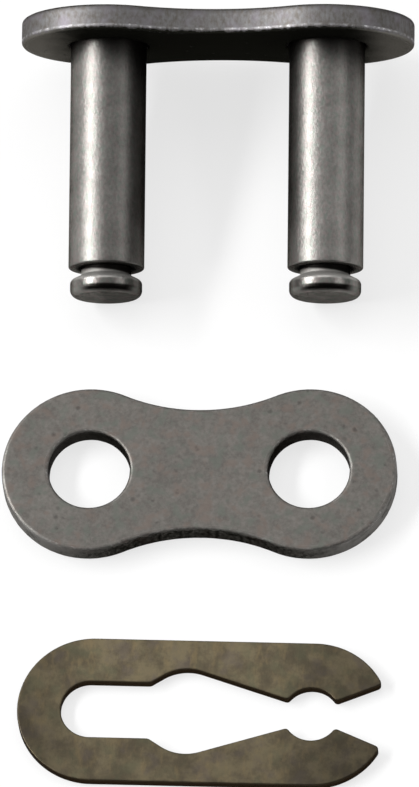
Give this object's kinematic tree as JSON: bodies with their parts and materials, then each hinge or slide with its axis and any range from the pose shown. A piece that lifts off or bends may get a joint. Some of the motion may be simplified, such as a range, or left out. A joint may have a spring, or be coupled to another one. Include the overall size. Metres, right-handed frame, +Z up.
{
  "type": "clip connecting link",
  "caption": "Clip connecting link for a roller chain: grooved pins riveted in a waisted plate, with its loose waisted cover plate and slotted spring clip laid out in a row.",
  "frame": {"origin": "on the surface the row lies on, under the middle of the row's box", "axes": "+X from the left pin to the right pin, +Y from the clip to the pin link, +Z up"},
  "size_m": [0.0236, 0.0468, 0.0102],
  "materials": {
    "plate_steel": "tumbled satin",
    "pin_steel": "ground satin",
    "clip_steel": "heat-treated satin, lightly bronzed"
  },
  "bodies": {
    "root": {"pin_plate": "plate_steel", "left_pin": "pin_steel", "right_pin": "pin_steel", "cover_plate": "plate_steel", "spring_clip": "clip_steel"}
  },
  "joints": []
}
